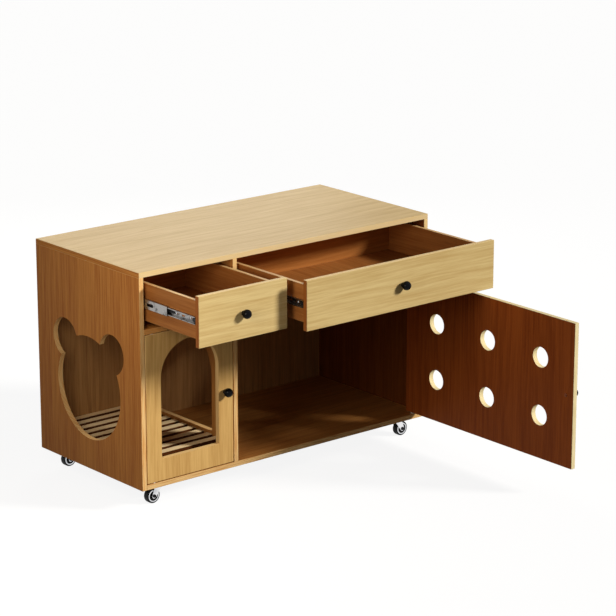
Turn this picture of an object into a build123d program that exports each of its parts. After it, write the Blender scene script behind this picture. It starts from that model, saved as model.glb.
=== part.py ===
from build123d import *
import math
import os

# Litter box enclosure: a laminated board cabinet on casters, with two drawers over two bays.
# Millimetres. X to the right, Y to the back, Z up. The origin lies on the floor, under the
# middle of the carcass. The stored pose has both drawers pulled out, the large door open
# and the small door shut.

# Carcass
board = 15.0
overall_width = 1050.0
overall_depth = 493.0
entry_bay_width = 306.0
lower_bay_height = 431.0
drawer_bay_height = 147.0
edge_break = 0.8
back_thickness = 5.0
back_inset = 10.0
groove_depth = 6.0
groove_clearance = 0.2

# Bear-head opening in the left side, and the arch in the divider
bear_centre_height = 240.0
bear_head_radius = 150.0
bear_ear_radius = 58.0
bear_ear_spread = 111.0
bear_ear_rise = 122.0
pass_width = 290.0
pass_sill = 66.0
pass_top_margin = 60.0

# Doors
door_gap = 2.5
arch_stile = 50.5
arch_sill = 63.5
arch_top_margin = 32.0
vent_diameter = 60.0
vent_pitch_x = 215.0
vent_pitch_z = 171.0
vent_columns = 3
vent_rows = 2
large_door_angle = 90.0
pivot_inset = 25.0
pivot_from_inside = 6.0
pin_radius = 2.5
pin_in_door = 22.0
pin_in_bush = 8.0
bush_radius = 4.5
bush_depth = 10.0
bush_end_wall = 1.5
flange_radius = 7.0
catch_radius = 4.0
catch_depth = 16.0
catch_ball_radius = 2.5
catch_ball_rise = 1.2
catch_from_edge = 40.0
strike_gauge = 1.0
strike_width = 30.0
strike_lip = 8.0

# Slatted floor of the entry bay
slat_top = 58.0
slat_thickness = 12.0
slat_width = 23.0
slat_pitch = 39.5
slat_front_space = 24.0
slat_end_gap = 1.0
bearer_thickness = 15.0

# Drawers
front_gap = 2.5
left_pull = 241.0
right_pull = 300.0
drawer_board = 12.0
drawer_bottom_thickness = 4.0
drawer_side_rise = 19.0
drawer_side_drop = 17.0
drawer_bottom_rise = 10.0
drawer_back_space = 40.0

# Drawer runners: three nested rolled channels
runner_space = 12.7
runner_height = 29.0
runner_gauge = 1.2
runner_clearance = 0.5
runner_lip = 2.6
runner_reach = 9.5
runner_front_space = 4.0
runner_back_space = 20.0
runner_window = 30.0
runner_window_pitch = 62.0
runner_window_height = 9.0
runner_slot = 13.0
runner_slot_pitch = 31.0
runner_slot_height = 4.5

# Knobs and their screws
knob_radius = 13.0
knob_stand_off = 15.0
knob_neck_radius = 5.0
knob_foot_radius = 7.5
knob_foot_height = 1.6
knob_from_edge = 28.0
screw_radius = 2.0
screw_head_radius = 4.2
screw_head_height = 2.4
screw_grip = 10.0

# Casters
wheel_diameter = 44.0
wheel_width = 18.0
wheel_shoulder = 2.5
wheel_recess = 3.0
wheel_recess_outer = 16.0
wheel_recess_inner = 7.5
wheel_top_gap = 5.0
wheel_side_gap = 1.0
fork_gauge = 2.0
fork_crown = 2.5
fork_eye_radius = 7.0
fork_shoulder = 12.0
race_height = 4.5
race_radius = 16.0
plate_size = 42.0
plate_thickness = 2.0
plate_corner = 5.0
plate_hole_radius = 2.2
plate_hole_pitch = 31.0
kingpin_radius = 4.0
kingpin_head_radius = 6.5
kingpin_head_height = 1.5
axle_radius = 3.0
axle_head_radius = 5.0
axle_head_height = 2.0
caster_trail = 15.0
caster_from_side = 78.0
caster_from_edge = 44.0

# Cam fittings that draw the boards together
cam_radius = 7.5
cam_height = 12.0
cam_setback = 24.0
cam_from_edge = 60.0
cam_bolt_radius = 3.0
cam_bolt_bite = 10.0

# Clearances: pieces fixed together, pieces that turn on one another, and resting faces
fixed_fit = 0.1
running_fit = 0.08
seat_gap = 0.3

# Levels and faces that follow from the sizes above
caster_height = wheel_diameter + wheel_top_gap + fork_crown + race_height + plate_thickness
front = -overall_depth / 2
back = overall_depth / 2
inner_back = back - back_inset - back_thickness
base = caster_height
floor = base + board
shelf_under = floor + lower_bay_height
shelf_top = shelf_under + board
top_under = shelf_top + drawer_bay_height
top = top_under + board
left = -overall_width / 2
left_face = left + board
divider_left = left_face + entry_bay_width
divider_right = divider_left + board
right = overall_width / 2
right_face = right - board

nodes = {}


def block(x, y, z):
    """Box between pairs of limits along X, Y and Z."""
    spans = [limits[1] - limits[0] for limits in (x, y, z)]
    middles = [(limits[0] + limits[1]) / 2 for limits in (x, y, z)]
    return Pos(*middles) * Box(*spans)


def eased(x, y, z):
    """Board with all its edges lightly eased."""
    plain = block(x, y, z)
    return chamfer(plain.edges(), edge_break)


def rod(start, end, radius):
    """Round bar between two points."""
    line = Vector(*end) - Vector(*start)
    return Solid.make_cylinder(radius, line.length, Plane(origin=start, z_dir=line))


def group(pieces):
    """Separate solids that share one node."""
    return Compound(children=list(pieces))


def arch(width, sill, crown):
    """Door-shaped outline with a half-round head, centred on its own X axis."""
    radius = width / 2
    spring = crown - radius
    jambs = Pos(0, (sill + spring) / 2) * Rectangle(width, spring - sill)
    return jambs + Pos(0, spring) * Circle(radius)


# Cam fittings: each cam has a slot towards the joint, where the bolt's tip sits


def cam(centre, drill, joint):
    """Slotted cam, let into a face along drill, with its slot towards the joint."""
    axis = Vector(*drill)
    mouth = Vector(*centre)
    disc = rod(mouth, mouth + axis * cam_height, cam_radius)
    heart = mouth + axis * (board / 2)
    slot = rod(heart, heart + Vector(*joint) * cam_radius * 2, cam_bolt_radius + fixed_fit)
    return disc - slot


def cam_pocket(centre, drill):
    """Blind hole for a cam."""
    mouth = Vector(*centre)
    return rod(mouth, mouth + Vector(*drill) * (cam_height + fixed_fit), cam_radius + fixed_fit)


cam_rows = (front + cam_from_edge, inner_back - cam_from_edge)
cams = []
cam_bolts = []
cam_pockets = []
cam_bores = []


def add_cam(centre, drill, joint):
    """One cam and its pocket."""
    cams.append(cam(centre, drill, joint))
    cam_pockets.append(cam_pocket(centre, drill))


def add_bolt(start, end):
    """One bolt and the bore that it passes through, which is a little longer."""
    along = (Vector(*end) - Vector(*start)).normalized()
    cam_bolts.append(rod(start, end, cam_bolt_radius))
    bore_start = Vector(*start) - along * fixed_fit
    bore_end = Vector(*end) + along * fixed_fit
    cam_bores.append(rod(bore_start, bore_end, cam_bolt_radius + fixed_fit))


for row in cam_rows:
    # Bottom board and shelves to the two sides
    for level in (base, shelf_under):
        middle = level + board / 2
        for face, way in ((left_face, -1), (right_face, 1)):
            cam_x = face - way * cam_setback
            add_cam((cam_x, row, level), (0, 0, 1), (way, 0, 0))
            add_bolt((cam_x + way * fixed_fit, row, middle), (face + way * cam_bolt_bite, row, middle))
    # Both shelves to the divider, on one bolt through it
    middle = shelf_under + board / 2
    add_cam((divider_left - cam_setback, row, shelf_under), (0, 0, 1), (1, 0, 0))
    add_cam((divider_right + cam_setback, row, shelf_under), (0, 0, 1), (-1, 0, 0))
    double_start = (divider_left - cam_setback + fixed_fit, row, middle)
    double_end = (divider_right + cam_setback - fixed_fit, row, middle)
    add_bolt(double_start, double_end)
    # Top board to the two sides
    for face, way in ((left_face, -1), (right_face, 1)):
        middle_x = face + way * board / 2
        cam_z = top_under - cam_setback
        add_cam((face, row, cam_z), (way, 0, 0), (0, 0, 1))
        add_bolt((middle_x, row, cam_z + fixed_fit), (middle_x, row, top_under + cam_bolt_bite))

nodes["cam_locks"] = group(cams)
nodes["cam_bolts"] = group(cam_bolts)

# Pivot bushes of the doors, and the holes that hold them
pivot_y = front + board - pivot_from_inside
pivot_offset = door_gap + pivot_inset
small_pivot_x = left_face + pivot_offset
large_pivot_x = right_face - pivot_offset


def bush(x, level, up):
    """Flanged bush let into a board, opening along up, which is 1 or -1."""
    seat = Vector(x, pivot_y, level)
    rise = Vector(0, 0, up)
    flange_height = door_gap - seat_gap
    barrel = rod(seat - rise * bush_depth, seat, bush_radius)
    flange = rod(seat, seat + rise * flange_height, flange_radius)
    bore_foot = seat - rise * (bush_depth - bush_end_wall)
    bore = rod(bore_foot, seat + rise * flange_height, pin_radius + running_fit)
    return barrel + flange - bore


bush_places = [(x, level, up) for x in (small_pivot_x, large_pivot_x)
               for level, up in ((floor, 1), (shelf_under, -1))]
nodes["pivot_bushes"] = group(bush(*place) for place in bush_places)
bush_holes = []
for x, level, up in bush_places:
    foot = (x, pivot_y, level - up * (bush_depth + fixed_fit))
    bush_holes.append(rod(foot, (x, pivot_y, level), bush_radius + fixed_fit))

# Carcass boards
groove_side = back_thickness + 2 * groove_clearance
groove_y = (inner_back - groove_clearance, inner_back - groove_clearance + groove_side)
side_z = (base, top_under)
depth_y = (front, back)
inner_y = (front, inner_back)

bear_plane = Plane(origin=(left, 0, base + bear_centre_height), x_dir=(0, 1, 0), z_dir=(1, 0, 0))
bear = Circle(bear_head_radius)
for way in (-1, 1):
    bear += Pos(way * bear_ear_spread, bear_ear_rise) * Circle(bear_ear_radius)
bear_cut = extrude(bear_plane * bear, board)

left_side = eased((left, left_face), depth_y, side_z) - bear_cut
left_side -= block((left_face - groove_depth, left_face), groove_y, (floor - groove_depth, top_under))
right_side = eased((right_face, right), depth_y, side_z)
right_side -= block((right_face, right_face + groove_depth), groove_y, (floor - groove_depth, top_under))

top_board = eased((left, right), depth_y, (top_under, top))
groove_x = (left_face - groove_depth, right_face + groove_depth)
top_board -= block(groove_x, groove_y, (top_under, top_under + groove_depth))
bottom_board = eased((left_face, right_face), depth_y, (base, floor))
bottom_board -= block((left_face, right_face), groove_y, (floor - groove_depth, floor))

pass_plane = Plane(origin=(divider_left, 0, floor), x_dir=(0, 1, 0), z_dir=(1, 0, 0))
pass_outline = arch(pass_width, pass_sill, lower_bay_height - pass_top_margin)
divider = eased((divider_left, divider_right), inner_y, (floor, top_under))
divider -= extrude(pass_plane * pass_outline, board)

left_shelf = eased((left_face, divider_left), inner_y, (shelf_under, shelf_top))
right_shelf = eased((divider_right, right_face), inner_y, (shelf_under, shelf_top))

drilled = {
    "left_side_panel": left_side,
    "right_side_panel": right_side,
    "top_panel": top_board,
    "bottom_panel": bottom_board,
    "divider_panel": divider,
    "left_drawer_shelf": left_shelf,
    "right_drawer_shelf": right_shelf,
}
holes = cam_pockets + cam_bores + bush_holes
for name, piece in drilled.items():
    limits = piece.bounding_box()
    nodes[name] = piece - [hole for hole in holes if limits.overlaps(hole.bounding_box())]

panel_margin = groove_depth - groove_clearance
nodes["back_panel"] = block(
    (left_face - panel_margin, right_face + panel_margin),
    (inner_back, inner_back + back_thickness),
    (floor - panel_margin, top_under + panel_margin),
)

# Slatted floor: slats laid across two bearers that stand on the bottom board
slat_z = (floor + slat_top - slat_thickness, floor + slat_top)
slat_x = (left_face + slat_end_gap, divider_left - slat_end_gap)
slat_last = inner_back - slat_end_gap - slat_width
slat_count = int((slat_last - front - slat_front_space) // slat_pitch) + 1
slat_starts = [slat_last - step * slat_pitch for step in range(slat_count)]
slats = [eased(slat_x, (start, start + slat_width), slat_z) for start in slat_starts]
nodes["floor_slats"] = group(slats)

bearer_y = (slat_starts[-1], inner_back - slat_end_gap)
bearer_z = (floor, slat_z[0])
bearers = [(left_face, left_face + bearer_thickness), (divider_left - bearer_thickness, divider_left)]
nodes["slat_bearers"] = group(block(x, bearer_y, bearer_z) for x in bearers)


# Knobs and screws, drawn with the board's outer face at Z = 0 and the knob rising along Z


def knob():
    """Ball knob on a short neck, with a blind hole for its screw."""
    foot = rod((0, 0, 0), (0, 0, knob_foot_height), knob_foot_radius)
    neck = rod((0, 0, 0), (0, 0, knob_stand_off), knob_neck_radius)
    ball = Pos(0, 0, knob_stand_off) * Sphere(knob_radius)
    bore = rod((0, 0, 0), (0, 0, screw_grip + seat_gap), screw_radius + fixed_fit)
    return foot + neck + ball - bore


def knob_screw():
    """Pan-head screw through the board into the knob."""
    shank = rod((0, 0, -board), (0, 0, screw_grip), screw_radius)
    head = rod((0, 0, -board - screw_head_height), (0, 0, -board), screw_head_radius)
    return shank + head


def knob_hole():
    """Clearance hole through the board."""
    return rod((0, 0, -board), (0, 0, 0), screw_radius + seat_gap)


def on_front(x, z):
    """Place on the front plane, facing out of the cabinet."""
    return Pos(x, front, z) * Rot(90, 0, 0)


# Doors, drawn shut and then turned about their pivot pins


def door_catch(x, door_top):
    """Ball catch let into the top edge of a door."""
    y = front + board / 2
    barrel = rod((x, y, door_top - catch_depth), (x, y, door_top), catch_radius)
    ball = Pos(x, y, door_top + catch_ball_rise - catch_ball_radius) * Sphere(catch_ball_radius)
    return barrel + ball


def catch_strike(x):
    """Bent strike under a shelf: a dimpled plate over the catch and a lip that stops the door."""
    half = strike_width / 2
    lip_face = front + board + seat_gap
    lip_y = (lip_face, lip_face + strike_gauge)
    plate_z = (shelf_under - strike_gauge, shelf_under)
    plate = block((x - half, x + half), (front + edge_break, lip_y[1]), plate_z)
    lip = block((x - half, x + half), lip_y, (shelf_under - strike_lip, shelf_under))
    dimple_foot = (x, front + board / 2, shelf_under - strike_gauge)
    dimple = rod(dimple_foot, (x, front + board / 2, shelf_under - strike_gauge / 2), catch_ball_radius)
    return plate + lip - dimple


def door(name, x, hinge_x, free_way, cut, turn):
    """One inset door with its knob, pivot pins and catch; free_way points at its free edge."""
    z = (floor + door_gap, shelf_under - door_gap)
    free_edge = x[1] if free_way > 0 else x[0]
    knob_place = on_front(free_edge - free_way * knob_from_edge, (z[0] + z[1]) / 2)
    catch_x = free_edge - free_way * catch_from_edge

    pins = []
    pin_holes = []
    for level, up in ((z[0], -1), (z[1], 1)):
        root = (hinge_x, pivot_y, level - up * pin_in_door)
        tip = (hinge_x, pivot_y, level + up * (door_gap + pin_in_bush))
        pins.append(rod(root, tip, pin_radius))
        bottom = (hinge_x, pivot_y, level - up * (pin_in_door + fixed_fit))
        pin_holes.append(rod(bottom, (hinge_x, pivot_y, level), pin_radius + fixed_fit))

    catch_y = front + board / 2
    catch_foot = (catch_x, catch_y, z[1] - catch_depth - fixed_fit)
    catch_hole = rod(catch_foot, (catch_x, catch_y, z[1]), catch_radius + fixed_fit)
    leaf = eased(x, (front, front + board), z) - cut
    leaf -= [knob_place * knob_hole(), catch_hole] + pin_holes
    pieces = {
        name: leaf,
        name + "_knob": knob_place * knob(),
        name + "_knob_screw": knob_place * knob_screw(),
        name + "_pivot_pins": group(pins),
        name + "_ball_catch": door_catch(catch_x, z[1]),
    }
    hinge = Axis((hinge_x, pivot_y, 0), (0, 0, 1))
    for piece_name, piece in pieces.items():
        nodes[piece_name] = piece.rotate(hinge, turn)
    return catch_strike(catch_x)


small_x = (left_face + door_gap, divider_left - door_gap)
small_middle = (small_x[0] + small_x[1]) / 2
door_bottom = floor + door_gap
door_height = lower_bay_height - 2 * door_gap
arch_width = small_x[1] - small_x[0] - 2 * arch_stile
arch_plane = Plane(origin=(small_middle, front, door_bottom), x_dir=(1, 0, 0), z_dir=(0, -1, 0))
arch_cut = extrude(arch_plane * arch(arch_width, arch_sill, door_height - arch_top_margin), -board)

large_x = (divider_right + door_gap, right_face - door_gap)
large_middle = (large_x[0] + large_x[1]) / 2
vent_centre = (large_middle, front, door_bottom + door_height / 2)
vent_plane = Plane(origin=vent_centre, x_dir=(1, 0, 0), z_dir=(0, -1, 0))
vents = GridLocations(vent_pitch_x, vent_pitch_z, vent_columns, vent_rows) * Circle(vent_diameter / 2)
vent_cut = extrude(vent_plane * Sketch(children=vents), -board)

small_strike = door("small_door", small_x, small_pivot_x, 1, arch_cut, 0)
large_strike = door("large_door", large_x, large_pivot_x, -1, vent_cut, large_door_angle)
nodes["catch_strikes"] = group([small_strike, large_strike])


# Drawer runners: the section is drawn with X from the cabinet's face to the drawer, Y up


def rectangle(x, y):
    """Rectangle between pairs of limits."""
    middle = Pos((x[0] + x[1]) / 2, (y[0] + y[1]) / 2)
    return middle * Rectangle(x[1] - x[0], y[1] - y[0])


def channel(web, flange_end, half, lip):
    """Channel with its web between two X limits, flanges to flange_end and lips of a set height."""
    section = rectangle(web, (-half, half))
    reach = (min(web[0], flange_end), max(web[1], flange_end))
    tip = (flange_end - runner_gauge, flange_end)
    if flange_end < web[0]:
        tip = (flange_end, flange_end + runner_gauge)
    for way in (-1, 1):
        flange = sorted((way * half, way * (half - runner_gauge)))
        section += rectangle(reach, flange)
        section += rectangle(tip, sorted((way * half, way * (half - lip))))
    return section


runner_step = runner_gauge + runner_clearance
cabinet_half = runner_height / 2
middle_half = cabinet_half - runner_step
drawer_half = middle_half - runner_lip - runner_clearance
cabinet_section = channel((0, runner_gauge), runner_reach, cabinet_half, runner_lip)
middle_web = (runner_step, runner_step + runner_gauge)
middle_section = channel(middle_web, runner_reach - runner_step, middle_half, runner_lip)
drawer_web = (runner_space - runner_gauge, runner_space)
drawer_section = channel(drawer_web, 2 * runner_step, drawer_half, runner_step - runner_lip)
middle_windows = (runner_window, runner_window_height, runner_window_pitch, middle_web)
drawer_slots = (runner_slot, runner_slot_height, runner_slot_pitch, drawer_web)


def runner(section, face, way, middle, y):
    """Rolled channel along Y on a face, built towards way, which is 1 or -1."""
    plane = Plane(origin=(face, y[1], middle), x_dir=(way, 0, 0), z_dir=(0, -way, 0))
    return extrude(plane * section, way * (y[1] - y[0]))


def punched(length, height, pitch, web, face, way, middle, y):
    """Row of openings through a channel's web, which lies between two distances from the face."""
    count = int((y[1] - y[0] - length) // pitch)
    first = (y[0] + y[1]) / 2 - (count - 1) * pitch / 2
    plane = Plane(origin=(face + way * web[0], 0, middle), x_dir=(0, 1, 0), z_dir=(way, 0, 0))
    places = [Pos(first + step * pitch, 0) for step in range(count)]
    opening = SlotOverall(length, height)
    return [extrude(plane * place * opening, web[1] - web[0]) for place in places]


# Drawers, drawn shut and then pulled out


def drawer(side, x, pull):
    """Drawer box, front, knob and three pairs of runner channels for one drawer bay."""
    front_z = (shelf_top + front_gap, top_under - front_gap)
    box_z = (front_z[0] + drawer_side_rise, front_z[1] - drawer_side_drop)
    box_x = (x[0] + runner_space, x[1] - runner_space)
    inside_x = (box_x[0] + drawer_board, box_x[1] - drawer_board)
    box_y = (front + board, inner_back - drawer_back_space)
    bottom_z = (box_z[0] + drawer_bottom_rise, box_z[0] + drawer_bottom_rise + drawer_bottom_thickness)
    groove_z = (bottom_z[0] - groove_clearance, bottom_z[1] + groove_clearance)
    rebate = drawer_board / 2
    middle = (box_z[0] + box_z[1]) / 2
    knob_place = on_front((x[0] + x[1]) / 2, (front_z[0] + front_z[1]) / 2)

    front_board = eased((x[0] + front_gap, x[1] - front_gap), (front, front + board), front_z)
    front_groove_x = (inside_x[0] - rebate, inside_x[1] + rebate)
    front_board -= block(front_groove_x, (front + board - rebate, front + board), groove_z)
    front_board -= knob_place * knob_hole()
    left_wall = eased((box_x[0], inside_x[0]), box_y, box_z)
    left_wall -= block((inside_x[0] - rebate, inside_x[0]), box_y, groove_z)
    right_wall = eased((inside_x[1], box_x[1]), box_y, box_z)
    right_wall -= block((inside_x[1], inside_x[1] + rebate), box_y, groove_z)
    back_wall = eased(inside_x, (box_y[1] - drawer_board, box_y[1]), (bottom_z[1], box_z[1]))
    tongue = rebate - groove_clearance
    bottom_x = (inside_x[0] - tongue, inside_x[1] + tongue)
    bottom = block(bottom_x, (box_y[0] - tongue, box_y[1]), bottom_z)

    runner_y = (front + board + runner_front_space, box_y[1] - runner_back_space)
    cabinet_runners = []
    middle_runners = []
    drawer_runners = []
    for face, way in ((x[0], 1), (x[1], -1)):
        place = (face, way, middle, runner_y)
        cabinet_runners.append(runner(cabinet_section, *place))
        middle_runners.append(runner(middle_section, *place) - punched(*middle_windows, *place))
        drawer_runners.append(runner(drawer_section, *place) - punched(*drawer_slots, *place))

    out = Pos(0, -pull, 0)
    halfway = Pos(0, -pull / 2, 0)
    name = side + "_drawer_"
    nodes[name + "front"] = out * front_board
    nodes[name + "left_side"] = out * left_wall
    nodes[name + "right_side"] = out * right_wall
    nodes[name + "back"] = out * back_wall
    nodes[name + "bottom"] = out * bottom
    nodes[name + "knob"] = out * knob_place * knob()
    nodes[name + "knob_screw"] = out * knob_place * knob_screw()
    nodes[name + "inner_runners"] = out * group(drawer_runners)
    nodes[name + "middle_runners"] = halfway * group(middle_runners)
    nodes[name + "cabinet_runners"] = group(cabinet_runners)


drawer("left", (left_face, divider_left), left_pull)
drawer("right", (divider_right, right_face), right_pull)

# Casters, drawn about the swivel axis with the wheel trailing along X
axle_z = wheel_diameter / 2
crown_under = wheel_diameter + wheel_top_gap
crown_top = crown_under + fork_crown
leg_inner = wheel_width / 2 + wheel_side_gap
leg_outer = leg_inner + fork_gauge


def caster_plate():
    """Top plate with its bearing race, and the riveted kingpin that carries the fork."""
    outline = RectangleRounded(plate_size, plate_size, plate_corner)
    outline -= GridLocations(plate_hole_pitch, plate_hole_pitch, 2, 2) * Circle(plate_hole_radius)
    plate = extrude(Pos(0, 0, base - plate_thickness) * outline, plate_thickness)
    race = rod((0, 0, crown_top + seat_gap), (0, 0, base - plate_thickness), race_radius)
    pin_foot = crown_under - seat_gap - kingpin_head_height
    pin = rod((0, 0, pin_foot), (0, 0, crown_top + seat_gap), kingpin_radius)
    head = rod((0, 0, pin_foot), (0, 0, pin_foot + kingpin_head_height), kingpin_head_radius)
    return plate + race + pin + head


def caster_fork():
    """Pressed fork: a round crown with two legs that taper to the axle eyes."""
    crown_radius = math.hypot(leg_outer, fork_shoulder)
    crown = rod((0, 0, crown_under), (0, 0, crown_top), crown_radius)
    crown -= rod((0, 0, crown_under), (0, 0, crown_top), kingpin_radius + running_fit)
    leg_top = Pos(0, crown_under - fork_crown / 2) * Rectangle(2 * fork_shoulder, fork_crown)
    eye = Pos(caster_trail, axle_z) * Circle(fork_eye_radius)
    leg = make_hull((leg_top + eye).edges()) - Pos(caster_trail, axle_z) * Circle(axle_radius + fixed_fit)
    fork = crown
    for y in (-leg_outer, leg_inner):
        leg_plane = Plane(origin=(0, y + fork_gauge, 0), x_dir=(1, 0, 0), z_dir=(0, -1, 0))
        fork += extrude(leg_plane * leg, fork_gauge)
    return fork


def caster_axle():
    """Riveted axle through both legs."""
    end = leg_outer + axle_head_height
    axle = rod((caster_trail, -end, axle_z), (caster_trail, end, axle_z), axle_radius)
    for way in (-1, 1):
        inner = (caster_trail, way * leg_outer, axle_z)
        axle += rod(inner, (caster_trail, way * end, axle_z), axle_head_radius)
    return axle


def caster_wheel():
    """Moulded wheel with bevelled shoulders and a dished face on each side."""
    half = wheel_width / 2
    disc = rod((0, 0, -half), (0, 0, half), wheel_diameter / 2)
    rims = disc.edges().filter_by(GeomType.CIRCLE)
    wheel = chamfer(rims, wheel_shoulder)
    dish = Circle(wheel_recess_outer) - Circle(wheel_recess_inner)
    wheel -= extrude(Pos(0, 0, half) * dish, -wheel_recess)
    wheel -= extrude(Pos(0, 0, -half) * dish, wheel_recess)
    wheel -= rod((0, 0, -half), (0, 0, half), axle_radius + running_fit)
    return Pos(caster_trail, 0, axle_z) * Rot(90, 0, 0) * wheel


caster_x = overall_width / 2 - caster_from_side
caster_y = overall_depth / 2 - caster_from_edge
plates = []
for row, y in (("front", -caster_y), ("back", caster_y)):
    for column, x, heading in (("left", -caster_x, 180), ("right", caster_x, 0)):
        place = Pos(x, y, 0) * Rot(0, 0, heading)
        name = f"{row}_{column}_caster_"
        plates.append(place * caster_plate())
        nodes[name + "fork"] = place * caster_fork()
        nodes[name + "axle"] = place * caster_axle()
        nodes[name + "wheel"] = place * caster_wheel()
nodes["caster_plates"] = group(plates)

os.makedirs("parts", exist_ok=True)
for name, shape in nodes.items():
    export_step(shape, os.path.join("parts", name + ".step"))
print(len(nodes), "nodes")
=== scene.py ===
import math

import bmesh
import bpy
from mathutils import Matrix, Vector


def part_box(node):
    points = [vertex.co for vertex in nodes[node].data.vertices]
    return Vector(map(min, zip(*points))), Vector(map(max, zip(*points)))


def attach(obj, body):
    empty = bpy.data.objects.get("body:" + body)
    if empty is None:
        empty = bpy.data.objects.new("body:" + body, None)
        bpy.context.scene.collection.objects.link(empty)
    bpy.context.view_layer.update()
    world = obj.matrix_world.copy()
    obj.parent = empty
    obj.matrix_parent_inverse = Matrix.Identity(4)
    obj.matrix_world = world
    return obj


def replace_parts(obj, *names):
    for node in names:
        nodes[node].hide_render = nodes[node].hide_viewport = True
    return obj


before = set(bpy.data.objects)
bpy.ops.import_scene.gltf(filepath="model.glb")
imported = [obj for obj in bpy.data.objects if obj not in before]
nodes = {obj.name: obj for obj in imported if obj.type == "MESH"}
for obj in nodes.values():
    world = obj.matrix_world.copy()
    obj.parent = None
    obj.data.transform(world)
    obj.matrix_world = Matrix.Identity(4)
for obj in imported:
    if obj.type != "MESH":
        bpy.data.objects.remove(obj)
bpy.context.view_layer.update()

# Carcass boards
# Sawn particle board of one thickness, faced on both sides with a printed wood-grain foil and closed with a
# band on its edges. The boards butt together and are drawn tight by cam fittings.

X, Y, Z = 0, 1, 2


class Shade:
    """A socket of a material. Sums on it add Math nodes, and node() adds any other kind of node."""

    def __init__(self, tree, socket=None):
        self.tree = tree
        self.socket = socket

    def node(self, kind, settings=None, inputs=None, output=0):
        made = self.tree.nodes.new(kind)
        for name, value in (settings or {}).items():
            setattr(made, name, value)
        for name, value in (inputs or {}).items():
            if isinstance(value, Shade):
                self.tree.links.new(value.socket, made.inputs[name])
            else:
                made.inputs[name].default_value = value
        return Shade(self.tree, made.outputs[output])

    def math(self, operation, first, second=0.0):
        return self.node("ShaderNodeMath", {"operation": operation}, {0: first, 1: second})

    def __add__(self, other):
        return self.math("ADD", self, other)

    def __sub__(self, other):
        return self.math("SUBTRACT", self, other)

    def __rsub__(self, other):
        return self.math("SUBTRACT", other, self)

    def __mul__(self, other):
        return self.math("MULTIPLY", self, other)

    __radd__ = __add__

    def rise(self, low, high):
        """Smooth step from 0 at low to 1 at high."""
        limits = {"Value": self, "From Min": low, "From Max": high}
        return self.node("ShaderNodeMapRange", {"interpolation_type": "SMOOTHSTEP"}, limits)

    def part(self, axis):
        """One coordinate of a vector."""
        return self.node("ShaderNodeSeparateXYZ", {}, {0: self}, axis)

    def stretch(self, x, y, z):
        """Vector with each coordinate multiplied."""
        return self.node("ShaderNodeVectorMath", {"operation": "MULTIPLY"}, {0: self, 1: (x, y, z)})

    def vector(self, x, y, z):
        return self.node("ShaderNodeCombineXYZ", {}, {0: x, 1: y, 2: z})

    def noise(self, detail=2.0, roughness=0.5):
        """Cloudy pattern over a vector, of one feature to each unit."""
        inputs = {"Vector": self, "Scale": 1.0, "Detail": detail, "Roughness": roughness}
        return self.node("ShaderNodeTexNoise", {}, inputs)

    def blend(self, under, over):
        """Colour that goes from under to over as this value goes from 0 to 1."""
        return self.node("ShaderNodeMix", {"data_type": "RGBA"}, {0: self, 6: under, 7: over}, 2)

    def bump(self, strength, depth):
        inputs = {"Height": self, "Strength": strength, "Distance": depth}
        return self.node("ShaderNodeBump", {}, inputs)

    def place(self):
        """Place on the piece, in metres, which moves with the piece."""
        return self.node("ShaderNodeTexCoord", {}, {}, "Object")

    def facing(self):
        """Direction that the piece's surface faces, which turns with the piece."""
        return self.node("ShaderNodeTexCoord", {}, {}, "Normal")


def new_material(name):
    """Material, a Shade to build its nodes from, and its surface shader."""
    material = bpy.data.materials.new(name)
    material.use_nodes = True
    return material, Shade(material.node_tree), material.node_tree.nodes["Principled BSDF"]


def dress(shader, **sockets):
    """Set or link the shader's sockets, named with underscores for spaces."""
    for name, value in sockets.items():
        socket = shader.inputs[name.replace("_", " ")]
        if isinstance(value, Shade):
            value.tree.links.new(value.socket, socket)
        else:
            socket.default_value = value


def colour(red, green, blue):
    """Colour from screen values of 0 to 255."""
    shares = [value / 255 for value in (red, green, blue)]
    linear = [s / 12.92 if s <= 0.04045 else ((s + 0.055) / 1.055) ** 2.4 for s in shares]
    return (*linear, 1.0)


def paint(node, material):
    """Give a CAD node one material in place of its own."""
    slots = nodes[node].data.materials
    slots.clear()
    slots.append(material)


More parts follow.
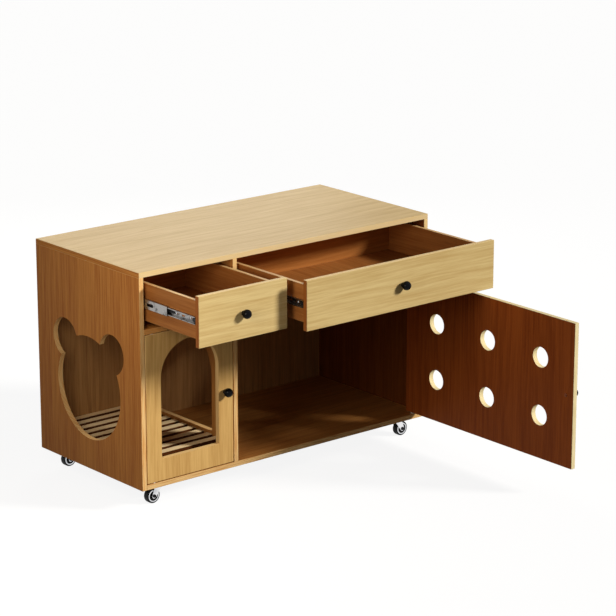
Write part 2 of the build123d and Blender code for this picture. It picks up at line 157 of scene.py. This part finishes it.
def laminate(name, seed, grain, thick, light, dark, edge, inner=None, end=None, streaks=None):
    """Wood-grain foil: growth rings and streaks along the grain, open pores, and a band on the edges.

    inner is a pair of colours for the side that faces down the thickness axis, where it differs, and end is
    a pair of colours for painted shade on the band that faces down the grain axis. The band has streaks of
    the light colour or its own.
    """
    material, start, shader = new_material(name)
    place = start.place()
    axes = [place.part(axis) for axis in (X, Y, Z)]
    along = axes[grain]
    across = sum(axes[axis] for axis in (X, Y, Z) if axis != grain)

    drift = start.vector(along * 1.3, across * 5.0, seed).noise()
    bent = across + drift * 0.03

    def figure(lengthwise, crosswise, shift, *cloud):
        """Noise drawn out along the grain, of so many features to the metre each way."""
        return start.vector(along * lengthwise, bent * crosswise, seed + shift).noise(*cloud)

    rings_per_metre, ring_waver = 26.0, 4.0
    ring = start.math("SINE", (across * rings_per_metre + drift * ring_waver) * math.tau).rise(-0.2, 1.0)
    broad = figure(0.8, 12.0, 3.1)
    streak = figure(5.0, 150.0, 7.7, 4.0, 0.65)
    fine = figure(14.0, 560.0, 11.3, 3.0, 0.6)
    dash = figure(40.0, 1500.0, 17.9)
    pore = (dash + ring * 0.06).rise(0.62, 0.74)
    tone = (broad * 0.35 + streak * 0.7 + fine * 0.35 + ring * 0.05).rise(0.48, 0.98)

    facing = start.facing()
    on_edge = 1.0 - start.math("ABSOLUTE", facing.part(thick)).rise(0.5, 0.9)
    pale, deep = light, dark
    # the inner colours are a real foil on the back panel, and painted shade on the right side and the large
    # door
    if inner:
        turned = (facing.part(thick) * -1.0).rise(0.5, 0.9)
        pale = turned.blend(light, inner[0])
        deep = turned.blend(dark, inner[1])
    face = (pore * 0.35).blend(tone.blend(pale, deep), deep)
    band = fine.rise(0.3, 0.75).blend(edge, streaks or light)
    # painted shade: the end band that faces down the grain axis takes darker colours, for the shade on that
    # end
    if end:
        width = X + Y + Z - grain - thick
        lines = start.vector(axes[width] * 5.0, axes[thick] * 300.0, seed).noise(4.0, 0.65).rise(0.35, 0.7)
        on_shaded_end = (facing.part(grain) * -1.0).rise(0.5, 0.9)
        band = on_shaded_end.blend(band, lines.blend(*end))
    height = fine * 0.35 + streak * 0.25 - pore * 0.6
    dress(
        shader,
        Base_Color=on_edge.blend(face, band),
        Roughness=0.4 + fine * 0.12 + pore * 0.1 + on_edge * 0.05,
        Normal=height.bump(0.12, 0.0006),
        Specular_IOR_Level=0.08,
    )
    return material


edge_band = colour(231, 198, 140)
honey = (colour(217, 193, 137), colour(190, 159, 102), edge_band)
straw = (colour(216, 188, 131), colour(190, 157, 97), colour(216, 192, 150))
# painted shade: the right side's inner face is darker than its outer face, for the shade inside the cabinet
painted_shade_inner = (colour(128, 72, 31), colour(97, 49, 18))
# painted shade: this browner orange stands for the shade on the left side, the top's left end and the left
# shelf
painted_shade_amber = (colour(204, 139, 68), colour(164, 96, 40))
# painted shade: this brown stands for the shade on the left ends of the drawer fronts
painted_shade_umber = (colour(158, 96, 44), colour(128, 70, 30))
boards = {
    # node: grain, thickness, light, dark, edge, inner face and end band where they differ
    "top_panel": (X, Z, *straw, None, painted_shade_amber),
    "left_side_panel": (Z, X, *painted_shade_amber, edge_band),
    "right_side_panel": (Z, X, *honey, painted_shade_inner),
    # painted shade: the bottom and the divider have a darker foil than the outer boards, for the shade
    # inside the cabinet
    "bottom_panel": (X, Z, colour(178, 124, 66), colour(142, 90, 42), colour(228, 194, 136)),
    "divider_panel": (Z, X, colour(190, 132, 70), colour(150, 96, 46), edge_band),
    # painted shade: the left shelf and its front edge are browner than the right shelf, for the shade on
    # them
    "left_drawer_shelf": (X, Z, *painted_shade_amber, colour(206, 150, 88)),
    "right_drawer_shelf": (X, Z, *honey),
}
for number, (node, finish) in enumerate(boards.items()):
    paint(node, laminate(node + "_foil", number * 5.3, *finish))

# Back panel
# Thin hardboard with a printed foil on its inner face and bare pressed fibre behind. It slides into grooves
# in the sides, the top and the bottom before the top goes on.
hardboard_bare = (colour(150, 112, 74), colour(126, 90, 56), colour(140, 100, 62))
hardboard_foil = (colour(178, 134, 84), colour(136, 97, 57))
paint("back_panel", laminate("back_foil", 41.0, Z, Y, *hardboard_bare, hardboard_foil))

# Slatted floor
# Pine slats with planed faces and dark brown edges, a painted shade for the gaps between them, laid with
# open gaps across two bearers that stand on the bottom board. The bearers are strips of the same board as
# the carcass.
# painted shade: the dark edge colour and its streaks stand for the shade in the gaps between the slats
pine_and_gap_shade = (colour(250, 228, 184), colour(228, 198, 146), colour(56, 26, 9))
gap_shade_streaks = colour(92, 50, 22)
paint("floor_slats", laminate("pine_slats", 52.0, X, Z, *pine_and_gap_shade, streaks=gap_shade_streaks))
paint("slat_bearers", laminate("bearer_foil", 57.0, Y, X, *honey))

# Cam fittings
# Zinc die castings let into the boards, each with a rim and a cross recess for the screwdriver. They turn
# on the heads of steel bolts and draw the boards together.


def metal(name, tone, dull, rough, scratch):
    """Plated metal with fine brushed scratches, duller patches and slight waviness."""
    material, start, shader = new_material(name)
    place = start.place()
    patches = place.stretch(60.0, 60.0, 60.0).noise(3.0)
    lines = place.stretch(900.0, 40.0, 1400.0).noise()
    worn = (patches * 0.8 + lines * 0.3).rise(0.5, 0.75)
    dress(
        shader,
        Base_Color=worn.blend(tone, dull),
        Metallic=1.0,
        Roughness=rough + worn * 0.12 + lines * scratch,
        Normal=lines.bump(0.05, 0.0002),
    )
    return material


def shape(name, made):
    """Mesh from a bmesh, smooth except over sharp edges."""
    bmesh.ops.recalc_face_normals(made, faces=made.faces)
    for face in made.faces:
        face.smooth = True
    for line in made.edges:
        line.smooth = line.calc_face_angle(0.0) < math.radians(35)
    mesh = bpy.data.meshes.new(name)
    made.to_mesh(mesh)
    made.free()
    return mesh


def cross_head(name, radius, height, dome):
    """Round head on Z 0 with a cross recess; dome is the share of its height lost at the rim."""
    made = bmesh.new()
    rings, steps = 14, 56
    slot, reach, depth = 0.15 * radius, 0.6 * radius, 0.7 * height
    grid = []
    for ring in range(1, rings + 1):
        share = ring / rings
        row = []
        for step in range(steps):
            turn = math.tau * step / steps
            x, y = share * radius * math.cos(turn), share * radius * math.sin(turn)
            cut = min(abs(x), abs(y)) < slot and share * radius < reach
            row.append(made.verts.new((x, y, height * (1 - dome * share ** 3) - depth * cut)))
        grid.append(row)
    grid.append([made.verts.new((corner.co.x, corner.co.y, 0)) for corner in grid[-1]])
    hub = made.verts.new((0, 0, height - depth))
    for step in range(steps):
        made.faces.new((hub, grid[0][step], grid[0][(step + 1) % steps]))
    for inside, outside in zip(grid, grid[1:]):
        for step in range(steps):
            after = (step + 1) % steps
            made.faces.new((inside[step], outside[step], outside[after], inside[after]))
    made.faces.new(grid[-1])
    return shape(name, made)


def copies(name, mesh, places):
    """One mesh of several copies."""
    made = bmesh.new()
    for where in places:
        count = len(made.verts)
        made.from_mesh(mesh)
        made.verts.ensure_lookup_table()
        bmesh.ops.transform(made, matrix=where, verts=made.verts[count:])
    return shape(name, made)


def fit(name, mesh, material, body):
    """Put a mesh in the scene, on a body."""
    piece = bpy.data.objects.new(name, mesh)
    bpy.context.scene.collection.objects.link(piece)
    mesh.materials.clear()
    mesh.materials.append(material)
    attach(piece, body)
    return piece


def aimed(spot, direction):
    """Place at a spot, with Z along a direction."""
    turn = Vector((0, 0, 1)).rotation_difference(Vector(direction)).to_matrix().to_4x4()
    return Matrix.Translation(spot) @ turn


zinc = metal("cast_zinc", colour(190, 192, 194), colour(150, 152, 156), rough=0.34, scratch=0.12)
steel = metal("plated_steel", colour(190, 192, 195), colour(112, 114, 118), rough=0.24, scratch=0.16)
paint("cam_locks", zinc)
paint("cam_bolts", steel)

cam_setback, cam_from_edge, cam_radius, cam_rim = 0.024, 0.06, 0.0074, 0.0002
left_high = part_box("left_side_panel")[1]
right_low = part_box("right_side_panel")[0]
divider_low, divider_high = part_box("divider_panel")
bottom_low, shelf_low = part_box("bottom_panel")[0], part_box("left_drawer_shelf")[0]
cam_seats = []
for row in (divider_low.y + cam_from_edge, divider_high.y - cam_from_edge):
    outer_cams = [left_high.x + cam_setback, right_low.x - cam_setback]
    inner_cams = [divider_low.x - cam_setback, divider_high.x + cam_setback]
    cam_seats += [((x, row, bottom_low.z), (0, 0, -1)) for x in outer_cams]
    cam_seats += [((x, row, shelf_low.z), (0, 0, -1)) for x in outer_cams + inner_cams]
    side_z = left_high.z - cam_setback
    cam_seats += [((left_high.x, row, side_z), (1, 0, 0)), ((right_low.x, row, side_z), (-1, 0, 0))]
cam_face = cross_head("cam_face", cam_radius, cam_rim, dome=0.0)
cam_faces = copies("cam_faces", cam_face, [aimed(*seat) for seat in cam_seats])
fit("cam_faces", cam_faces, zinc, "carcass")

# Pivots and catches
# Steel pivot pins that turn in flanged nylon bushes, brass ball catches in the doors' top edges, and bent
# steel strikes under the shelves that the balls snap into.


def moulded(name, tone, rubbed_tone, rough, texture):
    """Moulded plastic with a fine spark-eroded texture and rubbed places."""
    material, start, shader = new_material(name)
    place = start.place()
    skin = place.stretch(texture, texture, texture).noise()
    rub = place.stretch(90.0, 90.0, 90.0).noise(3.0).rise(0.5, 0.72)
    dress(
        shader,
        Base_Color=(rub * 0.7).blend(tone, rubbed_tone),
        Roughness=rough + skin * 0.12 - rub * 0.06,
        Normal=skin.bump(0.1, 0.0002),
        Specular_IOR_Level=0.2,
    )
    return material


brass = metal("turned_brass", colour(214, 176, 92), colour(160, 124, 58), rough=0.2, scratch=0.1)
nylon = moulded("nylon", colour(226, 224, 214), colour(206, 203, 190), rough=0.42, texture=2400.0)
paint("pivot_bushes", nylon)
paint("catch_strikes", steel)
for door in ("small_door", "large_door"):
    paint(door + "_pivot_pins", steel)
    paint(door + "_ball_catch", brass)

# Casters
# A pressed steel plate and fork with bright plating, a black riveted axle, and a black moulded wheel with a
# bright ring on each face. Each plate is held under the bottom board by four pan-head screws.


def lathe(name, profile, steps):
    """Turned shape about Z from pairs of radius and height."""
    made = bmesh.new()
    rings = []
    for radius, height in profile:
        turns = [math.tau * step / steps for step in range(steps if radius else 1)]
        circle = [(radius * math.cos(turn), radius * math.sin(turn), height) for turn in turns]
        rings.append([made.verts.new(corner) for corner in circle])
    for low, high in zip(rings, rings[1:]):
        for step in range(steps):
            after = (step + 1) % steps
            below = [low[step % len(low)], low[after % len(low)]]
            above = [high[after % len(high)], high[step % len(high)]]
            made.faces.new(list(dict.fromkeys(below + above)))
    bmesh.ops.remove_doubles(made, verts=made.verts, dist=1e-7)
    return shape(name, made)


def arc(centre, radius, first, last, count):
    """Points of a round stretch of profile, from first to last in degrees."""
    angles = [math.radians(first + (last - first) * step / count) for step in range(count + 1)]
    return [(centre[0] + radius * math.cos(a), centre[1] + radius * math.sin(a)) for a in angles]


def middle(node):
    """Middle of a CAD node's box."""
    low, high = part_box(node)
    return (low + high) / 2


wheel_radius, wheel_half, wheel_shoulder, wheel_rim = 0.022, 0.009, 0.003, 0.0142


def wheel_profile():
    """Wheel about its axle: rounded tread with two fine grooves, a raised rim and a dished face."""
    radius, half, shoulder, rim = wheel_radius, wheel_half, wheel_shoulder, wheel_rim
    bore, boss, dish, dip, slope = 0.0031, 0.0075, 0.0078, 0.003, 0.0008
    groove, groove_depth, groove_at = 0.0006, 0.0007, 0.0028
    side = [(bore, half), (boss, half), (dish, half - dip), (rim - slope, half - dip), (rim, half)]
    side += arc((radius - shoulder, half - shoulder), shoulder, 90, 0, 6)
    tread = []
    for at in (groove_at, -groove_at):
        tread += [(radius, at + groove), (radius - groove_depth, at + groove / 2)]
        tread += [(radius - groove_depth, at - groove / 2), (radius, at - groove)]
    return side + tread + [(r, -h) for r, h in reversed(side)] + [side[0]]


def ring_profile():
    """Thin ring pressed on the flat of the wheel's face."""
    margin, width, sunk, proud = 0.0002, 0.0029, 0.0002, 0.0003
    inside, outside = wheel_rim + margin, wheel_rim + margin + width
    low, high = wheel_half - sunk, wheel_half + proud
    return [(inside, low), (inside, high), (outside, high), (outside, low), (inside, low)]


wheel_plastic = moulded("wheel_plastic", colour(9, 9, 10), colour(24, 24, 25), rough=0.5, texture=1800.0)
chrome = metal("bright_plating", colour(232, 233, 235), colour(196, 198, 202), rough=0.1, scratch=0.08)
black_steel = metal("black_steel", colour(36, 35, 35), colour(18, 18, 19), rough=0.3, scratch=0.1)
face_ring = lathe("face_ring", ring_profile(), steps=64)
paint("caster_plates", chrome)
for corner in ("front_left", "front_right", "back_left", "back_right"):
    caster = corner + "_caster_"
    paint(caster + "fork", chrome)
    paint(caster + "axle", black_steel)
    on_axle = aimed(middle(caster + "wheel"), (0, 1, 0))
    wheel = lathe(corner + "_tyre", wheel_profile(), steps=64)
    wheel.transform(on_axle)
    tyre = fit(corner + "_tyre", wheel, wheel_plastic, caster + "wheel")
    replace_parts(tyre, caster + "wheel")
    faces = [on_axle, on_axle @ Matrix.Rotation(math.pi, 4, "X")]
    rings = copies(corner + "_wheel_rings", face_ring, faces)
    fit(corner + "_wheel_rings", rings, chrome, caster + "wheel")

plate_size, plate_gauge, hole_pitch = 0.042, 0.002, 0.031
plate_low, plate_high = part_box("caster_plates")
plate_screws = []
for plate_x in (plate_low.x + plate_size / 2, plate_high.x - plate_size / 2):
    for plate_y in (plate_low.y + plate_size / 2, plate_high.y - plate_size / 2):
        for dx in (-hole_pitch / 2, hole_pitch / 2):
            for dy in (-hole_pitch / 2, hole_pitch / 2):
                spot = (plate_x + dx, plate_y + dy, plate_high.z - plate_gauge)
                plate_screws.append(aimed(spot, (0, 0, -1)))
plate_head = cross_head("plate_head", radius=0.0036, height=0.0018, dome=0.5)
fit("caster_screws", copies("caster_screws", plate_head, plate_screws), steel, "carcass")

# Doors
# Inset board doors on pivot pins: the small one has an arched way in, the large one six round air vents.
# The large door's inner face has a darker colour than its outer face, a painted shade, and its edges and
# vents a cream band.
# painted shade: the inner face's darker, redder colour stands for the shade on that side of the door
door_inner_painted_shade = (colour(180, 95, 40), colour(139, 65, 25))
cream = colour(250, 236, 190)
# partly painted shade: the small door is browner than the large door, in part for the shade that falls on
# it
small_wood = (colour(211, 172, 108), colour(181, 139, 80), edge_band)
large_wood = (*honey[:2], cream)
paint("small_door", laminate("small_door_foil", 61.0, Z, Y, *small_wood))
paint("large_door", laminate("large_door_foil", 67.0, Z, X, *large_wood, door_inner_painted_shade))

# Knobs
# Turned ball knobs with a short flared neck, dipped in black gloss lacquer. Each is held by a screw through
# the board, and a brown plastic cap covers the screw's head.


def knob_profile():
    """Knob from its foot on the board, at height 0, to its crown."""
    ball, stand_off, neck, foot, foot_height = 0.013, 0.015, 0.005, 0.0075, 0.0016
    ease, flare = 0.0004, 0.0008
    leave = -math.degrees(math.acos(neck / ball))
    base = [(0, 0), (foot - ease, 0), (foot, ease), (foot, foot_height - ease)]
    base += [(foot - ease, foot_height), (neck + flare, foot_height + ease)]
    return base + arc((0, stand_off), ball, leave, 90, 24)[:-1] + [(0, stand_off + ball)]


def cap_profile():
    """Shallow dome over a screw's head, open underneath."""
    radius, skirt, rise = 0.0048, 0.0016, 0.0032
    angles = [math.radians(turn) for turn in range(0, 90, 10)]
    dome = [(radius * math.cos(a), skirt + (rise - skirt) * math.sin(a)) for a in angles]
    return [(radius, 0)] + dome + [(0, rise)]


def gloss(name):
    """Black gloss lacquer with a faint orange-peel surface and light finger marks."""
    material, start, shader = new_material(name)
    place = start.place()
    peel = place.stretch(420.0, 420.0, 420.0).noise()
    marks = place.stretch(130.0, 130.0, 130.0).noise(4.0).rise(0.52, 0.7)
    dress(
        shader,
        Base_Color=(marks * 0.5).blend(colour(6, 6, 8), colour(15, 14, 16)),
        Roughness=0.12 + marks * 0.12,
        Normal=peel.bump(0.06, 0.0002),
        Specular_IOR_Level=0.08,
    )
    return material


lacquer = gloss("black_lacquer")
cap_plastic = moulded("cap_plastic", colour(150, 77, 30), colour(132, 63, 23), rough=0.4, texture=1800.0)
front_way, side_way = (0, -1, 0), (1, 0, 0)
for body, board, out in (
    ("left_drawer", "left_drawer_front", front_way),
    ("right_drawer", "right_drawer_front", front_way),
    ("small_door", "small_door", front_way),
    ("large_door", "large_door", side_way),
):
    low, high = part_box(board)
    foot, head = middle(body + "_knob"), middle(body + "_knob")
    if out == front_way:
        foot.y, head.y = low.y, high.y
    else:
        foot.x, head.x = high.x, low.x
    knob = lathe(body + "_ball_knob", knob_profile(), steps=64)
    knob.transform(aimed(foot, out))
    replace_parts(fit(body + "_ball_knob", knob, lacquer, body), body + "_knob")
    paint(body + "_knob_screw", steel)
    cap = lathe(body + "_screw_cap", cap_profile(), steps=40)
    cap.transform(aimed(head, [-way for way in out]))
    fit(body + "_screw_cap", cap, cap_plastic, body)

# Drawer boxes
# Grooved board sides and back with a thin bottom, and a thick front of the same foil as the carcass, with a
# brown band of painted shade on its left end. The grain runs round the box.
drawer_wood = (colour(172, 112, 58), colour(140, 84, 38), edge_band)
for side, seed in (("left", 71.0), ("right", 83.0)):
    drawer = side + "_drawer_"
    paint(drawer + "front", laminate(drawer + "front_foil", seed, X, Y, *honey, None, painted_shade_umber))
    for wall, grain, thick in (("left_side", Y, X), ("right_side", Y, X), ("back", X, Y)):
        board = drawer + wall
        paint(board, laminate(board + "_foil", seed + grain + 2.0, grain, thick, *drawer_wood))
    paint(drawer + "bottom", laminate(drawer + "bottom_foil", seed + 5.0, Y, Z, *drawer_wood))

# Drawer runners
# Three rolled steel channels on each side of a drawer, nested so that their lips hold one another. The
# inner one is screwed to the drawer through its slots, and has a black plastic release lever and a bumper.


def rounded_bar(name, length, height, thickness):
    """Bar along Y with round ends, standing on X 0 and eased along its front."""
    made = bmesh.new()
    radius, ease, turns = height / 2, thickness / 4, 8
    outline = []
    for centre, first in ((length / 2 - radius, -90), (radius - length / 2, 90)):
        outline += arc((centre, 0), radius, first, first + 180, turns)
    levels = ((0.0, 1.0), (thickness - ease, 1.0), (thickness, 1.0 - ease / height))
    rings = [[made.verts.new((x, y * share, z * share)) for y, z in outline] for x, share in levels]
    for low, high in zip(rings, rings[1:]):
        for step in range(len(outline)):
            after = (step + 1) % len(outline)
            made.faces.new((low[step], low[after], high[after], high[step]))
    made.faces.new(rings[0])
    made.faces.new(rings[-1])
    return shape(name, made)


runner_steel = metal("runner_steel", colour(160, 157, 154), colour(40, 37, 35), rough=0.16, scratch=0.2)
lever_plastic = moulded("lever_plastic", colour(20, 20, 22), colour(38, 38, 40), rough=0.4, texture=1600.0)
runner_head = cross_head("runner_head", radius=0.0036, height=0.0016, dome=0.5)
lever_bar = rounded_bar("lever_bar", length=0.046, height=0.0062, thickness=0.0028)
bumper_bar = rounded_bar("bumper_bar", length=0.016, height=0.011, thickness=0.004)
web_depth, first_slot, slot_pitch = 0.0081, 0.029, 0.031
screw_slots, lever_at, bumper_at = (0, 2, 9), 0.118, 0.009
for side in ("left", "right"):
    drawer = side + "_drawer"
    for member in ("cabinet", "middle", "inner"):
        paint(f"{drawer}_{member}_runners", runner_steel)
    low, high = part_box(drawer + "_inner_runners")
    level = (low.z + high.z) / 2
    heads, levers, bumpers = [], [], []
    for web, way in ((low.x + web_depth, -1), (high.x - web_depth, 1)):
        for number in screw_slots:
            heads.append(aimed((web, low.y + first_slot + number * slot_pitch, level), (way, 0, 0)))
        mirror = Matrix.Scale(way, 4, (1, 0, 0))
        levers.append(Matrix.Translation((web, low.y + lever_at, level)) @ mirror)
        bumpers.append(Matrix.Translation((web, low.y + bumper_at, level)) @ mirror)
    for name, bar, places, material, slot in (
        ("_runner_screws", runner_head, heads, steel, "screw_steel"),
        ("_release_levers", lever_bar, levers, lever_plastic, "knob_black"),
        ("_runner_bumpers", bumper_bar, bumpers, lever_plastic, "knob_black"),
    ):
        fit(drawer + name, copies(drawer + name, bar, places), material, drawer)

# Studio
# Plain pale floor and white surround, a soft key light from the right of the front, a soft box on the left
# and one behind. The key light leaves no glare on the foil.
floor_reach = 40.0
floor_mesh = bpy.data.meshes.new("studio_floor")
floor_corners = [(x * floor_reach, y * floor_reach, 0.0) for x, y in ((-1, -1), (1, -1), (1, 1), (-1, 1))]
floor_mesh.from_pydata(floor_corners, [], [(0, 1, 2, 3)])
floor = bpy.data.objects.new("studio_floor", floor_mesh)
bpy.context.scene.collection.objects.link(floor)


def seen_rays(start):
    """1 for what the camera sees straight, mirrored or through glass."""
    kinds = ("Is Camera Ray", "Is Glossy Ray", "Is Transmission Ray")
    camera_ray, glossy_ray, clear_ray = [start.node("ShaderNodeLightPath", {}, {}, kind) for kind in kinds]
    return start.math("MINIMUM", camera_ray + glossy_ray + clear_ray, 1.0)


floor_bounce, floor_pale, floor_veil_share = (0.1, 0.1, 0.1, 1), (0.9, 0.9, 0.9, 1), 0.84
floor_material, floor_start, floor_shader = new_material("studio_floor")
floor_seen = seen_rays(floor_start)
dress(
    floor_shader,
    Base_Color=floor_seen.blend(floor_bounce, floor_pale),
    Roughness=0.9,
    Specular_IOR_Level=0.0,
)
floor_face = Shade(floor_material.node_tree, floor_shader.outputs[0])
floor_glow = floor_start.node("ShaderNodeEmission", {}, {"Color": (1, 1, 1, 1), "Strength": 1.06})
floor_mix = {0: floor_seen * floor_veil_share, 1: floor_face, 2: floor_glow}
floor_veil = floor_start.node("ShaderNodeMixShader", {}, floor_mix)
floor_out = floor_material.node_tree.nodes["Material Output"].inputs["Surface"]
floor_material.node_tree.links.new(floor_veil.socket, floor_out)
floor_mesh.materials.append(floor_material)

world = bpy.data.worlds.new("studio")
world.use_nodes = True
bpy.context.scene.world = world
world_start = Shade(world.node_tree)
dim = world_start.node("ShaderNodeBackground", {}, {"Color": (1, 1, 1, 1), "Strength": 0.08})
white = world_start.node("ShaderNodeBackground", {}, {"Color": (1, 1, 1, 1), "Strength": 1.0})
surround = world_start.node("ShaderNodeMixShader", {}, {0: seen_rays(world_start), 1: dim, 2: white})
world.node_tree.links.new(surround.socket, world.node_tree.nodes["World Output"].inputs["Surface"])


def lamp(name, kind, tone, energy, stands, looks_at, **sizes):
    """Studio light of one kind, with its angle or side."""
    data = bpy.data.lights.new(name, kind)
    data.color = tone
    data.energy = energy
    for size, value in sizes.items():
        setattr(data, size, value)
    light = bpy.data.objects.new(name, data)
    light.location = stands
    light.rotation_euler = (Vector(looks_at) - Vector(stands)).to_track_quat("-Z", "Y").to_euler()
    bpy.context.scene.collection.objects.link(light)
    return light


key = lamp("key", "SUN", (1.0, 0.965, 0.9), 3.95, (0.62, -0.65, 0.44), (0, 0, 0), angle=math.radians(11))
key.visible_glossy = False
lamp("left_box", "AREA", (1.0, 0.9, 0.76), 7.8, (-1.35, -0.75, 0.95), (-0.45, -0.1, 0.42), size=0.6)
lamp("back_box", "AREA", (1.0, 0.97, 0.93), 19.0, (1.3, 2.0, 1.7), (0.1, 0.2, 0.5), size=1.4)

camera_data = bpy.data.cameras.new("camera")
camera_data.sensor_width = 36.0
camera_data.lens = 153.17
camera_data.clip_end = 100.0
camera = bpy.data.objects.new("camera", camera_data)
camera.location = (-4.525, -5.767, 2.5197)
azimuth, pitch = math.radians(39.754), math.radians(15.883)
aim = Vector((math.sin(azimuth) * math.cos(pitch), math.cos(azimuth) * math.cos(pitch), -math.sin(pitch)))
camera.rotation_euler = aim.to_track_quat("-Z", "Y").to_euler()
bpy.context.scene.collection.objects.link(camera)
bpy.context.scene.camera = camera
bpy.context.scene.view_settings.view_transform = "Standard"
